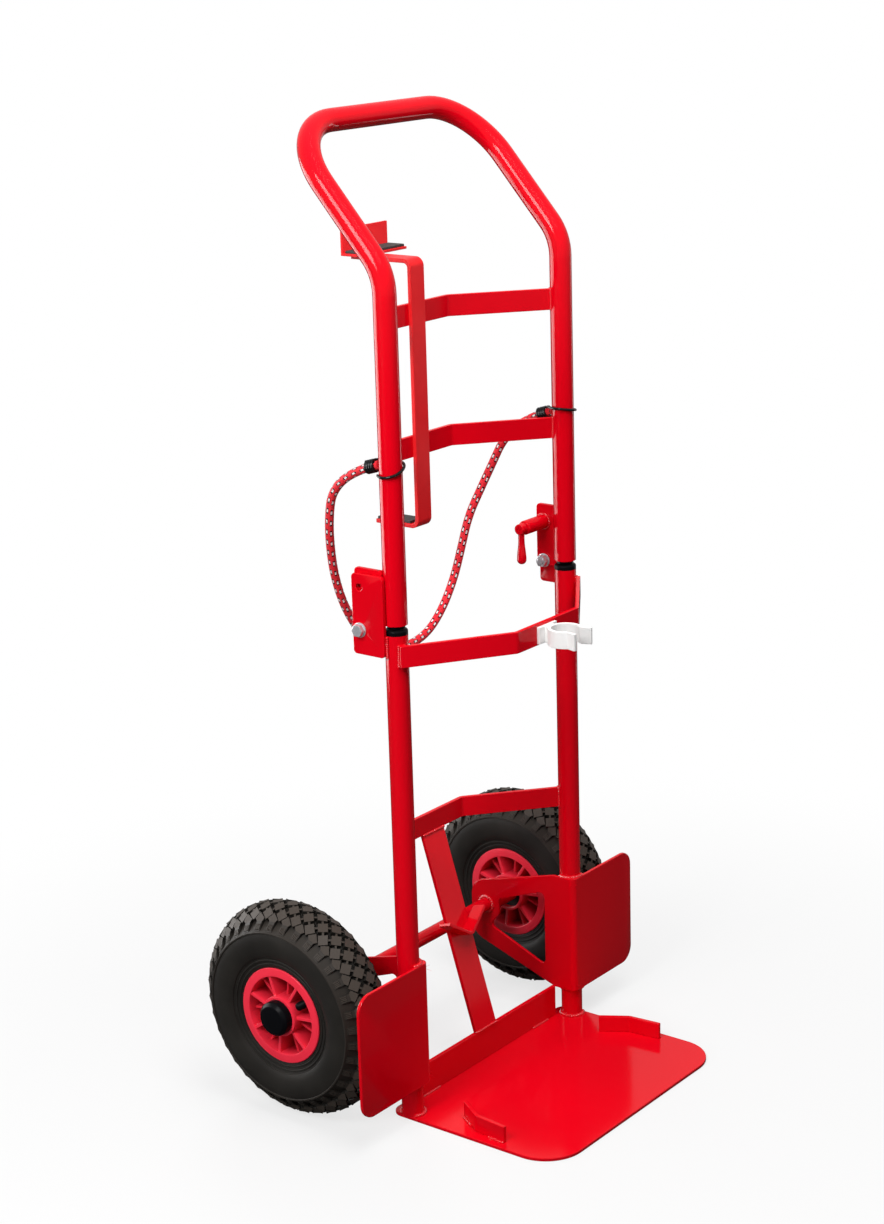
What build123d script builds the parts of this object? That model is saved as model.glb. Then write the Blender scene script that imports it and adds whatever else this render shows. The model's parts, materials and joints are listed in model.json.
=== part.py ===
"""Folding two-wheeled transport cart: tube frame, toe plate, pneumatic wheels, tool holder and bungee cord.

Millimetres, +Z up. X runs across the cart, the toe plate reaches forward along -Y and the wheels sit behind.
The origin is on the floor, midway between the two uprights.
"""

import os
from math import acos, atan2, cos, degrees, hypot, pi, radians, sin, tan

from build123d import *

# Uprights and handle
tube_d = 26.0
tube_wall = 2.0
tube_spacing = 324.0
lower_tube_top = 585.0
joint_gap = 11.0
lean_height = 982.0
grip_height = 1131.0
grip_setback = 131.0
lean_bend_r = 60.0
corner_bend_r = 78.0

# Flat bars bent to a shallow cradle between the uprights
bar_width = 25.0
bar_t = 5.0
bar_bend_r = 8.0
cradle_depth = 88.0
cradle_middle = 118.0
lower_cradle_z = 295.5
front_cradle_z = 562.5
upper_cradle_low_z = 758.0
upper_cradle_high_z = 910.0
front_lap = 1.5

# Toe plate with its rear strip and load stops
plate_t = 4.0
plate_overhang = 12.0
plate_width = tube_spacing + 2 * plate_overhang
plate_front = 212.0
plate_rear = 24.0
plate_front_r = 48.0
plate_rear_r = 14.0
strip_t = 5.0
strip_height = 39.5
stop_t = 5.0
stop_height = 20.0
stop_bend_r = 12.0
stop_rear = (plate_width / 2 - 37.0, -58.0)
stop_knee = (plate_width / 2 - 17.0, -90.0)
stop_front = (plate_width / 2 - 13.0, -132.0)

# Axle and wheels
axle_d = 17.0
tyre_d = 260.0
tyre_width = 72.0
guard_clearance = 1.5
axle_setback = tyre_d / 2 - tube_d / 2 + guard_clearance
tyre_wall = 7.0
tread_width = 50.0
shoulder_drop = 15.4
upright_clearance = 11.0
track = tube_spacing + tube_d + tyre_width + 2 * upright_clearance
bead_r = 50.0
rim_width = 62.0
rim_flange_r = 58.0
rim_flange_t = 3.0
rim_wall = 2.5
rim_web_t = 12.0
rib_count = 7
rib_phase = -19.0
rib_t = 4.0
rib_inset = 1.5
low_rib_t = 3.0
low_rib_inset = 11.0
hub_length = 67.0
hub_wall = 4.0
hub_shoulder_r = 14.0
bearing_d = 40.0
bearing_width = 12.0
bearing_recess = 6.0
axle_sleeve_d = 24.0
retainer_d = 28.0
retainer_t = 2.0
axle_overhang = 5.0
cap_d = 41.0
cap_length = 13.0
cap_chamfer = 4.0
cap_spigot = 4.0
cap_wall = 3.0
valve_stem_d = 8.0
valve_cap_d = 10.0
valve_length = 26.0
valve_cap_length = 17.0
valve_angle = 57.0
valve_tilt = 45.0
valve_offset = 12.0

# Wheel brackets: one sheet bent round each upright, guard in front and axle plate behind
sheet_t = 4.0
bracket_bottom = 42.0
bracket_top = 192.0
bracket_bend_r = 6.0
bracket_weld = 8.0
guard_reach = 110.0
guard_corner_r = 20.0
axle_plate_rear = axle_setback + 23.5
axle_plate_rear_low = tyre_d / 2 - 44.0
axle_plate_rear_high = tyre_d / 2 + 27.0
axle_plate_flat = 14.0
axle_plate_r = 24.0
window_front = 28.0
window_border = 25.0
window_axle_land = 10.5
window_tip = 4.5
window_r = 6.0

# Brace from the toe plate to the lower cradle, with its notched rest
brace_width = 40.0
brace_t = 5.0
rest_height = 157.0
rest_half_span = 35.0
rest_rise = 24.0
rest_width = 18.0
rest_t = 4.0

# Folding joint
hinge_t = 5.0
hinge_corner_r = 5.0
weld_leg = 8.0
weld_length = 18.0
pivot_setback = 36.0
pivot_height = 588.5
pivot_d = 8.0
outer_plate_below = 28.5
outer_plate_above = 64.0
inner_plate_below = 6.5
inner_plate_above = 69.5
plate_behind_pivot = 11.0
outer_plate_front = 3.0
inner_plate_front = 8.0
washer_d = 17.0
washer_t = 1.6
hex_across = 13.0
head_t = 5.3
nut_t = 6.5
thread_end = 2.0

# Lock bolt: sleeve on the inner plate, sliding pin and turning lever
lock_rise = 48.5
lock_pin_d = 8.0
lock_pin_length = 28.0
lock_pin_setback = 0.5
sleeve_d = 17.0
sleeve_length = 41.0
lever_boss_d = 13.0
lever_boss_t = 10.0
lever_stub = 10.0
lever_drop = 49.0
lever_neck_d = 7.6
lever_grip_d = 11.4
lever_dimple_d = 4.0

# Plastic plugs in the tube ends
plug_depth = 18.0
plug_flange_t = 6.0
plug_round = 2.5
upper_plug_d = 20.0
upper_plug_drop = 3.6

# Tool holder on the upper frame
holder_bottom = 661.0
holder_top = 973.0
holder_offset = -3.5
holder_arm = 61.0
holder_top_arm = 84.0
holder_bend_r = 8.0
shelf_length = 82.0
shelf_offset = 11.0
shelf_leg = 31.0
shelf_t = 3.0
pad_t = 3.0
pad_margin = 2.0
pad_length = 48.0

# Pipe clip on the front cradle
clip_pipe_d = 32.0
clip_wall = 4.0
clip_height = 20.0
clip_top_drop = 3.0
clip_offset = -7.0
clip_mouth_angle = 90.0
clip_lip = 13.0
clip_lip_flare = 15.0
clip_base_width = 34.0
clip_base_t = 4.0
clip_neck_width = 14.0
clip_neck = 3.0

# Bungee cord with wire hooks
cord_d = 10.0
cord_dip = 16.4
cord_tail = 5.0
cord_lead = 31.0
hook_wire_d = 3.2
right_hook_height = 780.0
right_hook_tilt = -16.0
left_hook_height = 778.5
left_hook_tilt = 30.0
hook_slack = 0.4
hook_tip = 6.0
coil_clearance = 7.0
coil_turns = 4
coil_gap = 0.6
coil_bite = 0.2

# Fits
running_clearance = 0.05
pivot_clearance = 0.1
lock_clearance = 0.1
hinge_gap = 0.6
upright_gap = 0.4
swing_clearance = 1.5
face_gap = 0.3

# Sizes that follow from the ones above
half = tube_spacing / 2
tube_r = tube_d / 2
bore_r = tube_r - tube_wall
upper_tube_bottom = lower_tube_top + joint_gap
strip_top = plate_t + strip_height
strip_mid_y = tube_r + strip_t / 2
axle_plate_x = half - tube_r - sheet_t / 2
guard_y = -tube_r - sheet_t / 2
wheel_r = tyre_d / 2
wheel_x = track / 2
hub_bore_r = bearing_d / 2
hub_r = hub_bore_r + hub_wall
hub_end = wheel_x + hub_length / 2
hub_start = wheel_x - hub_length / 2
outer_bearing_end = hub_end - bearing_recess
inner_bearing_start = hub_start + bearing_recess
outer_plate_x = half + tube_r + upright_gap
inner_plate_x = outer_plate_x - hinge_gap - hinge_t
lock_height = pivot_height + lock_rise
sleeve_end_x = inner_plate_x - sleeve_length
holder_y = cradle_depth - bar_t
lower_cradle_bottom = lower_cradle_z - bar_width / 2
front_cradle_face = -cradle_depth - bar_t / 2
coil_r = (cord_d + hook_wire_d) / 2 - coil_bite
coil_setback = tube_r + coil_clearance
coil_pitch = hook_wire_d + coil_gap

# The wheel's plane: local x along the axle, local y outward from it
wheel_plane = Plane(origin=(wheel_x, axle_setback, wheel_r), x_dir=(1, 0, 0), z_dir=(0, -1, 0))
wheel_axis = Axis((wheel_x, axle_setback, wheel_r), (1, 0, 0))

os.makedirs("parts", exist_ok=True)


def save(builder, name):
    builder.part.label = name
    export_step(builder.part, f"parts/{name}.step")


def save_pair(builder, name):
    """Write a right-hand piece and its mirror image."""
    with BuildPart() as mirrored:
        mirror(builder.part, about=Plane.YZ)
    save(builder, f"{name}_right")
    save(mirrored, f"{name}_left")


def across(x, setback, height):
    """A plane facing +X at the given point, with local x backward and local y up."""
    return Plane(origin=(x, setback, height), x_dir=(0, 1, 0), z_dir=(1, 0, 0))


def biarc(start, start_dir, end, end_dir):
    """Join two points by two arcs that leave and arrive along the given directions."""
    chord = end - start
    along = chord.dot(start_dir + end_dir)
    turn = 2 * (1 - start_dir.dot(end_dir))
    reach = ((along * along + turn * chord.dot(chord)) ** 0.5 - along) / turn
    middle = (start + start_dir * reach + end - end_dir * reach) * 0.5
    TangentArc(start, middle, tangent=start_dir)
    TangentArc(end, middle, tangent=-end_dir)


# Lower uprights, standing on the toe plate
with BuildPart() as lower_tube:
    with BuildSketch(Plane.XY.offset(plate_t)):
        with Locations((half, 0)):
            Circle(tube_r)
            Circle(bore_r, mode=Mode.SUBTRACT)
    extrude(amount=lower_tube_top - plate_t)
save_pair(lower_tube, "lower_tube")

# Upper uprights and handle, one bent tube
with BuildPart() as handle_tube:
    with BuildLine():
        FilletPolyline(
            (-half, 0, upper_tube_bottom),
            (-half, 0, lean_height),
            (-half, grip_setback, grip_height),
            (half, grip_setback, grip_height),
            (half, 0, lean_height),
            (half, 0, upper_tube_bottom),
            radius=[lean_bend_r, corner_bend_r, corner_bend_r, lean_bend_r],
        )
    with BuildSketch(Plane.XY.offset(upper_tube_bottom)):
        with Locations((-half, 0)):
            Circle(tube_r)
            Circle(bore_r, mode=Mode.SUBTRACT)
    sweep()
save(handle_tube, "handle_tube")


def cradle_bar(height, name):
    """A flat bar bulging backward, its ends coped to the two uprights."""
    with BuildPart() as bar:
        with BuildSketch(Plane.XY.offset(height - bar_width / 2)):
            with BuildLine():
                FilletPolyline(
                    (-half, 0),
                    (-cradle_middle / 2, cradle_depth),
                    (cradle_middle / 2, cradle_depth),
                    (half, 0),
                    radius=bar_bend_r,
                )
            trace(line_width=bar_t)
        extrude(amount=bar_width)
        with Locations((-half, 0, height), (half, 0, height)):
            Cylinder(tube_r, 2 * bar_width, mode=Mode.SUBTRACT)
    save(bar, name)


cradle_bar(lower_cradle_z, "lower_cradle_bar")
cradle_bar(upper_cradle_low_z, "upper_cradle_bar_low")
cradle_bar(upper_cradle_high_z, "upper_cradle_bar_high")

# The front bar bulges forward and its ends lap the front of the uprights
knee_to_tube = hypot(half - cradle_middle / 2, cradle_depth)
tube_bearing = atan2(cradle_depth, half - cradle_middle / 2)
lap_angle = tube_bearing + acos((tube_r + bar_t / 2) / knee_to_tube) - pi / 2
lap_length = knee_to_tube * cos(tube_bearing - lap_angle) + front_lap
lap_x = cradle_middle / 2 + lap_length * cos(lap_angle)
lap_y = -cradle_depth + lap_length * sin(lap_angle)
with BuildPart() as front_cradle_bar:
    with BuildSketch(Plane.XY.offset(front_cradle_z - bar_width / 2)):
        with BuildLine():
            FilletPolyline(
                (-lap_x, lap_y),
                (-cradle_middle / 2, -cradle_depth),
                (cradle_middle / 2, -cradle_depth),
                (lap_x, lap_y),
                radius=bar_bend_r,
            )
        trace(line_width=bar_t)
    extrude(amount=bar_width)
save(front_cradle_bar, "front_cradle_bar")

# Toe plate
with BuildPart() as toe_plate:
    with BuildSketch():
        with Locations((0, (plate_rear - plate_front) / 2)):
            Rectangle(plate_width, plate_front + plate_rear)
        fillet(vertices().group_by(Axis.Y)[0], plate_front_r)
        fillet(vertices().group_by(Axis.Y)[-1], plate_rear_r)
    extrude(amount=plate_t)
save(toe_plate, "toe_plate")

# Upright strip along the back of the toe plate, between the axle plates
with BuildPart() as rear_strip:
    with Locations((0, strip_mid_y, plate_t)):
        Box(
            2 * axle_plate_x - sheet_t,
            strip_t,
            strip_height,
            align=(Align.CENTER, Align.CENTER, Align.MIN),
        )
save(rear_strip, "rear_strip")

# Load stops near the side edges of the plate
with BuildPart() as load_stop:
    with BuildSketch(Plane.XY.offset(plate_t)):
        with BuildLine():
            FilletPolyline(stop_rear, stop_knee, stop_front, radius=stop_bend_r)
        trace(line_width=stop_t)
    extrude(amount=stop_height)
save_pair(load_stop, "load_stop")

# Wheel brackets, with a weld between each upright and the bend at the top and the bottom
with BuildPart() as wheel_bracket:
    with BuildSketch(Plane.XY.offset(bracket_bottom)):
        with BuildLine():
            FilletPolyline(
                (half + guard_reach, guard_y),
                (axle_plate_x, guard_y),
                (axle_plate_x, axle_plate_rear),
                radius=bracket_bend_r,
            )
        trace(line_width=sheet_t)
    extrude(amount=bracket_top - bracket_bottom)
    fillet(wheel_bracket.edges().filter_by(Axis.Y).group_by(Axis.X)[-1], guard_corner_r)
    with BuildSketch(Plane.YZ) as side_outline:
        with BuildLine():
            Polyline(
                (-plate_front, bracket_bottom),
                (axle_plate_flat, bracket_bottom),
                (axle_plate_rear, axle_plate_rear_low),
                (axle_plate_rear, axle_plate_rear_high),
                (axle_plate_flat, bracket_top),
                (-plate_front, bracket_top),
                close=True,
            )
        make_face()
        fillet(side_outline.vertices().group_by(Axis.X)[-1], axle_plate_r)
    extrude(amount=half + guard_reach, mode=Mode.INTERSECT)
    with BuildSketch(Plane.YZ) as window:
        with BuildLine():
            Polyline(
                (window_front, bracket_bottom + window_border),
                (axle_setback - window_tip, wheel_r - axle_d - window_axle_land),
                (axle_setback - axle_d / 2 - window_axle_land, wheel_r - window_axle_land),
                (axle_setback - axle_d / 2 - window_axle_land, wheel_r + window_axle_land),
                (window_front, bracket_top - window_border),
                close=True,
            )
        make_face()
        fillet(window.vertices(), window_r)
    extrude(amount=half + guard_reach, mode=Mode.SUBTRACT)
    with BuildSketch(Plane.YZ):
        with Locations((axle_setback, wheel_r)):
            Circle(axle_d / 2)
    extrude(amount=half + guard_reach, mode=Mode.SUBTRACT)
    for level in (bracket_bottom, bracket_top - bracket_weld):
        with BuildSketch(Plane.XY.offset(level)):
            with Locations((half, 0)):
                Rectangle(tube_r + sheet_t / 4, tube_r + sheet_t / 4, align=(Align.MAX, Align.MAX))
                Circle(tube_r, mode=Mode.SUBTRACT)
        extrude(amount=bracket_weld)
save_pair(wheel_bracket, "wheel_bracket")

# Axle rod through both brackets and wheels
axle_half = outer_bearing_end + retainer_t + axle_overhang
with BuildPart() as axle:
    with BuildSketch(across(-axle_half, axle_setback, wheel_r)):
        Circle(axle_d / 2)
    extrude(amount=2 * axle_half)
    chamfer(axle.edges().filter_by(GeomType.CIRCLE), 1)
save(axle, "axle")

# Sleeves that hold the wheels off the brackets, and the rings that keep the wheels on
sleeve_start = axle_plate_x + sheet_t / 2
with BuildPart() as axle_sleeve:
    with BuildSketch(across(sleeve_start, axle_setback, wheel_r)):
        Circle(axle_sleeve_d / 2)
        Circle(axle_d / 2, mode=Mode.SUBTRACT)
    extrude(amount=inner_bearing_start - face_gap - sleeve_start)
save_pair(axle_sleeve, "axle_sleeve")

with BuildPart() as axle_retainer:
    with BuildSketch(across(outer_bearing_end + face_gap, axle_setback, wheel_r)):
        Circle(retainer_d / 2)
        Circle(axle_d / 2, mode=Mode.SUBTRACT)
    extrude(amount=retainer_t)
save_pair(axle_retainer, "axle_retainer")

# Tyre: a hollow carcass whose beads sit on the rim between the flanges
bead_x = rim_width / 2 - rim_flange_t
tread_edge_r = wheel_r - shoulder_drop
section_mid_r = (bead_r + wheel_r) / 2
with BuildPart() as tyre:
    with BuildSketch(wheel_plane) as tyre_section:
        with BuildLine():
            crown = ThreePointArc((-tread_width / 2, tread_edge_r), (0, wheel_r), (tread_width / 2, tread_edge_r))
            wall = Spline(
                (tread_width / 2, tread_edge_r),
                (tyre_width / 2, section_mid_r + tyre_wall),
                (bead_x, rim_flange_r + tyre_wall / 2),
                tangents=[crown % 1, (0, -1)],
            )
            bead = Line(wall @ 1, (bead_x, bead_r))
            Line(bead @ 1, (-bead_x, bead_r))
            mirror(bead, about=Plane.YZ)
            mirror(wall, about=Plane.YZ)
        make_face()
        with Locations((0, section_mid_r)):
            Ellipse(tyre_width / 2 - tyre_wall, wheel_r - section_mid_r - tyre_wall, mode=Mode.SUBTRACT)
        with Locations((0, bead_r)):
            Rectangle(2 * (bead_x - tyre_wall), section_mid_r - bead_r, mode=Mode.SUBTRACT)
    revolve(axis=wheel_axis)
save_pair(tyre, "tyre")

# Moulded rim: barrel with flanges, web, hub, high and low ribs on both sides and the hole for the valve
barrel_inner_r = bead_r - rim_wall
valve_bay = int((valve_angle - rib_phase) * rib_count / 360)
spoke_plane = wheel_plane.rotated((valve_angle, 0, 0))
valve_plane = Plane(
    origin=spoke_plane.from_local_coords((valve_offset, barrel_inner_r)),
    z_dir=spoke_plane.x_dir * sin(radians(valve_tilt)) - spoke_plane.y_dir * cos(radians(valve_tilt)),
)
with BuildPart() as rim:
    with BuildSketch(wheel_plane):
        with Locations((0, barrel_inner_r)):
            Rectangle(rim_width, rim_wall, align=(Align.CENTER, Align.MIN))
        with Locations((rim_width / 2, barrel_inner_r)):
            Rectangle(rim_flange_t, rim_flange_r - barrel_inner_r, align=(Align.MAX, Align.MIN))
        with Locations((-rim_width / 2, barrel_inner_r)):
            Rectangle(rim_flange_t, rim_flange_r - barrel_inner_r, align=(Align.MIN, Align.MIN))
        with Locations((0, hub_shoulder_r)):
            Rectangle(rim_web_t, barrel_inner_r - hub_shoulder_r + rim_wall / 2, align=(Align.CENTER, Align.MIN))
            Rectangle(hub_length, hub_r - hub_shoulder_r, align=(Align.CENTER, Align.MIN))
        for side in (-1, 1):
            with Locations((side * hub_length / 2, hub_shoulder_r)):
                Rectangle(
                    2 * (bearing_recess + bearing_width),
                    hub_bore_r - hub_shoulder_r,
                    align=(Align.CENTER, Align.MIN),
                    mode=Mode.SUBTRACT,
                )
    revolve(axis=wheel_axis)
    for index in range(rib_count):
        with BuildSketch(wheel_plane.rotated((rib_phase + 360 / rib_count * index, 0, 0))):
            with Locations((0, hub_r - hub_wall / 2)):
                Rectangle(
                    rim_width - 2 * rib_inset,
                    barrel_inner_r - hub_r + (hub_wall + rim_wall) / 2,
                    align=(Align.CENTER, Align.MIN),
                )
        extrude(amount=rib_t / 2, both=True)
    for bay in range(rib_count):
        if bay != valve_bay:
            with BuildSketch(wheel_plane.rotated((rib_phase + 360 / rib_count * (bay + 0.5), 0, 0))):
                with Locations((0, hub_r - hub_wall / 2)):
                    Rectangle(
                        rim_width - 2 * low_rib_inset,
                        barrel_inner_r - hub_r + (hub_wall + rim_wall) / 2,
                        align=(Align.CENTER, Align.MIN),
                    )
            extrude(amount=low_rib_t / 2, both=True)
    with BuildSketch(valve_plane):
        Circle(valve_stem_d / 2)
    extrude(amount=3 * rim_wall, both=True, mode=Mode.SUBTRACT)
save_pair(rim, "rim")


def bearing(start, name):
    """A ball bearing pressed into the hub, running on the axle."""
    with BuildPart() as ring:
        with BuildSketch(across(start, axle_setback, wheel_r)):
            Circle(hub_bore_r)
            Circle(axle_d / 2 + running_clearance, mode=Mode.SUBTRACT)
        extrude(amount=bearing_width)
        chamfer(ring.edges().filter_by(GeomType.CIRCLE).sort_by(SortBy.RADIUS)[-2:], 0.8)
    save_pair(ring, name)


bearing(outer_bearing_end - bearing_width, "bearing_outer")
bearing(inner_bearing_start, "bearing_inner")

# Hub cap: a chamfered cup whose spigot plugs into the hub
with BuildPart() as hub_cap:
    with BuildSketch(across(hub_end, axle_setback, wheel_r)):
        Circle(cap_d / 2)
    extrude(amount=cap_length)
    chamfer(hub_cap.faces().sort_by(Axis.X)[-1].edges(), cap_chamfer)
    with BuildSketch(across(hub_end - cap_spigot, axle_setback, wheel_r)):
        Circle(hub_bore_r)
    extrude(amount=cap_spigot)
    with BuildSketch(across(hub_end - cap_spigot, axle_setback, wheel_r)):
        Circle(hub_bore_r - cap_wall)
    extrude(amount=cap_spigot + cap_length - cap_wall, mode=Mode.SUBTRACT)
save_pair(hub_cap, "hub_cap")

# Tyre valve: a capped stem that leans out of the barrel toward the wheel's outer face
with BuildPart() as valve:
    with BuildSketch(valve_plane.offset(-rim_wall)):
        Circle(valve_stem_d / 2)
    extrude(amount=rim_wall + valve_length - valve_cap_length)
    with BuildSketch(valve_plane.offset(valve_length - valve_cap_length)):
        Circle(valve_cap_d / 2)
    extrude(amount=valve_cap_length)
    fillet(valve.faces().sort_by(Axis(valve_plane.origin, valve_plane.z_dir))[-1].edges(), valve_cap_d / 2.4)
save_pair(valve, "valve")

# Brace: a flat bar from the rear strip up to the lower cradle
brace_lean = atan2(cradle_depth - strip_mid_y, lower_cradle_bottom - strip_top)
brace_half = brace_t / 2 / cos(brace_lean)
with BuildPart() as brace:
    with BuildSketch(Plane.YZ):
        with BuildLine():
            Polyline(
                (strip_mid_y - brace_half, strip_top),
                (strip_mid_y + brace_half, strip_top),
                (cradle_depth + brace_half, lower_cradle_bottom),
                (cradle_depth - brace_half, lower_cradle_bottom),
                close=True,
            )
        make_face()
    extrude(amount=brace_width / 2, both=True)
save(brace, "brace")

# Notched rest standing square on the front of the brace
rest_y = strip_mid_y + tan(brace_lean) * (rest_height - strip_top) - brace_half
rest_plane = Plane(
    origin=(0, rest_y, rest_height),
    x_dir=(1, 0, 0),
    z_dir=(0, -cos(brace_lean), sin(brace_lean)),
)
with BuildPart() as notched_rest:
    with BuildSketch(rest_plane):
        with BuildLine():
            FilletPolyline(
                (-rest_half_span, rest_rise),
                (0, 0),
                (rest_half_span, rest_rise),
                radius=bar_bend_r,
            )
        trace(line_width=rest_t)
    extrude(amount=rest_width)
save(notched_rest, "notched_rest")

# Outer hinge plates, just outside the uprights, each held to the lower one by a weld along its flank
plate_back = pivot_setback + plate_behind_pivot
with BuildPart() as hinge_plate_outer:
    with BuildSketch(across(outer_plate_x, 0, pivot_height)):
        with Locations((plate_back, -outer_plate_below)):
            Rectangle(
                plate_back - outer_plate_front,
                outer_plate_below + outer_plate_above,
                align=(Align.MAX, Align.MIN),
            )
        fillet(vertices(), hinge_corner_r)
    extrude(amount=hinge_t)
    weld_bottom = pivot_height - outer_plate_below + hinge_corner_r / 2
    with Locations((outer_plate_x, outer_plate_front + hinge_corner_r / 2, weld_bottom)):
        Box(weld_leg, weld_leg, weld_length, align=(Align.MAX, Align.MIN, Align.MIN))
    with Locations((half, 0, lower_tube_top)):
        Cylinder(
            tube_r,
            2 * outer_plate_below,
            align=(Align.CENTER, Align.CENTER, Align.MAX),
            mode=Mode.SUBTRACT,
        )
    with BuildSketch(across(outer_plate_x, pivot_setback, pivot_height)):
        Circle(pivot_d / 2)
        with Locations((0, lock_rise)):
            Circle(lock_pin_d / 2 + lock_clearance)
    extrude(amount=hinge_t, mode=Mode.SUBTRACT)
save_pair(hinge_plate_outer, "hinge_plate_outer")

# Inner hinge plates, coped to the upper uprights
with BuildPart() as hinge_plate_inner:
    with BuildSketch(across(inner_plate_x, 0, pivot_height)):
        with Locations((plate_back, -inner_plate_below)):
            Rectangle(
                plate_back - inner_plate_front,
                inner_plate_below + inner_plate_above,
                align=(Align.MAX, Align.MIN),
            )
        fillet(vertices(), hinge_corner_r)
    extrude(amount=hinge_t)
    with Locations((half, 0, upper_tube_bottom)):
        Cylinder(
            tube_r,
            2 * inner_plate_above,
            align=(Align.CENTER, Align.CENTER, Align.MIN),
            mode=Mode.SUBTRACT,
        )
        Cylinder(
            tube_r + swing_clearance,
            2 * inner_plate_above,
            align=(Align.CENTER, Align.CENTER, Align.MAX),
            mode=Mode.SUBTRACT,
        )
    with BuildSketch(across(inner_plate_x, pivot_setback, pivot_height)):
        Circle(pivot_d / 2 + pivot_clearance)
        with Locations((0, lock_rise)):
            Circle(lock_pin_d / 2 + lock_clearance)
    extrude(amount=hinge_t, mode=Mode.SUBTRACT)
save_pair(hinge_plate_inner, "hinge_plate_inner")

# Pivot bolts with a washer under the head, and the nuts with theirs
bolt_face = outer_plate_x + hinge_t
nut_face = inner_plate_x - face_gap
nut_end = nut_face - washer_t - nut_t
with BuildPart() as pivot_bolt:
    with BuildSketch(across(nut_end - thread_end, pivot_setback, pivot_height)):
        Circle(pivot_d / 2)
    extrude(amount=bolt_face - nut_end + thread_end)
    with BuildSketch(across(bolt_face, pivot_setback, pivot_height)):
        Circle(washer_d / 2)
    extrude(amount=washer_t)
    with BuildSketch(across(bolt_face + washer_t, pivot_setback, pivot_height)):
        RegularPolygon(hex_across / 2, 6, major_radius=False)
    extrude(amount=head_t)
save_pair(pivot_bolt, "pivot_bolt")

with BuildPart() as pivot_nut:
    with BuildSketch(across(nut_end, pivot_setback, pivot_height)):
        RegularPolygon(hex_across / 2, 6, major_radius=False)
    extrude(amount=nut_t)
    with BuildSketch(across(nut_end + nut_t, pivot_setback, pivot_height)):
        Circle(washer_d / 2)
    extrude(amount=washer_t)
    with BuildSketch(across(nut_end, pivot_setback, pivot_height)):
        Circle(pivot_d / 2)
    extrude(amount=nut_t + washer_t, mode=Mode.SUBTRACT)
save_pair(pivot_nut, "pivot_nut")

# Lock sleeves, seated on the inboard face of the inner plates
with BuildPart() as lock_sleeve:
    with BuildSketch(across(sleeve_end_x, pivot_setback, lock_height)):
        Circle(sleeve_d / 2)
        Circle(lock_pin_d / 2 + lock_clearance, mode=Mode.SUBTRACT)
    extrude(amount=sleeve_length)
    chamfer(lock_sleeve.faces().sort_by(Axis.X)[0].edges().sort_by(SortBy.RADIUS)[-1], 1)
save_pair(lock_sleeve, "lock_sleeve")

# Lock pins, drawn back just inside the inner plate
pin_tip_x = inner_plate_x + hinge_t - lock_pin_setback
with BuildPart() as lock_pin:
    with BuildSketch(across(pin_tip_x - lock_pin_length, pivot_setback, lock_height)):
        Circle(lock_pin_d / 2)
    extrude(amount=lock_pin_length)
    chamfer(lock_pin.faces().sort_by(Axis.X)[-1].edges(), 0.8)
save_pair(lock_pin, "lock_pin")

# Lock levers: a round boss that turns on its stub in the sleeve, with a bulged grip hanging from it
boss_start = sleeve_end_x - face_gap - lever_boss_t
grip_x = boss_start + lever_boss_t / 2
grip_plane = Plane(origin=(grip_x, pivot_setback, lock_height), x_dir=(1, 0, 0), z_dir=(0, -1, 0))
with BuildPart() as lock_lever:
    with BuildSketch(across(boss_start, pivot_setback, lock_height)):
        Circle(lever_boss_d / 2)
    extrude(amount=lever_boss_t)
    fillet(lock_lever.edges().filter_by(GeomType.CIRCLE), 1)
    with BuildSketch(across(boss_start, pivot_setback, lock_height)):
        Circle(lever_dimple_d / 2)
    extrude(amount=lever_dimple_d / 4, mode=Mode.SUBTRACT)
    with BuildSketch(across(boss_start + lever_boss_t / 2, pivot_setback, lock_height)):
        Circle(lock_pin_d / 2)
    extrude(amount=lever_boss_t / 2 + face_gap + lever_stub)
    with BuildSketch(grip_plane):
        with BuildLine():
            neck = Line((0, -lever_boss_d / 4), (lever_neck_d / 2, -lever_boss_d / 4))
            stem = Line(neck @ 1, (lever_neck_d / 2, -lever_boss_d))
            flare = Spline(
                stem @ 1,
                (lever_grip_d / 2, -lever_drop + lever_grip_d),
                tangents=[(0, -1), (0, -1)],
            )
            tip = RadiusArc(flare @ 1, (0, -lever_drop + lever_grip_d / 2), lever_grip_d / 2)
            Line(tip @ 1, neck @ 0)
        make_face()
    revolve(axis=Axis((grip_x, pivot_setback, lock_height), (0, 0, 1)))
save_pair(lock_lever, "lock_lever")

# Plugs: a rounded flange on each lower upright, a low boss under each upper one
with BuildPart() as lower_plug:
    with Locations((half, 0, lower_tube_top)):
        Cylinder(tube_r, plug_flange_t, align=(Align.CENTER, Align.CENTER, Align.MIN))
    fillet(lower_plug.faces().sort_by(Axis.Z)[-1].edges(), plug_round)
    with Locations((half, 0, lower_tube_top)):
        Cylinder(bore_r, plug_depth, align=(Align.CENTER, Align.CENTER, Align.MAX))
save_pair(lower_plug, "lower_plug")

with BuildPart() as upper_plug:
    with Locations((half, 0, upper_tube_bottom)):
        Cylinder(upper_plug_d / 2, upper_plug_drop, align=(Align.CENTER, Align.CENTER, Align.MAX))
        Cylinder(bore_r, plug_depth, align=(Align.CENTER, Align.CENTER, Align.MIN))
save_pair(upper_plug, "upper_plug")

# Tool holder: a bent flat bar on the front of the upper cradles
with BuildPart() as holder_bar:
    with BuildSketch(Plane.YZ.offset(holder_offset)):
        with BuildLine():
            FilletPolyline(
                (holder_y + holder_arm, holder_bottom + bar_t / 2),
                (holder_y, holder_bottom + bar_t / 2),
                (holder_y, holder_top - bar_t / 2),
                (holder_y + holder_top_arm, holder_top - bar_t / 2),
                radius=holder_bend_r,
            )
        trace(line_width=bar_t)
    extrude(amount=bar_width / 2, both=True)
save(holder_bar, "holder_bar")

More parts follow.
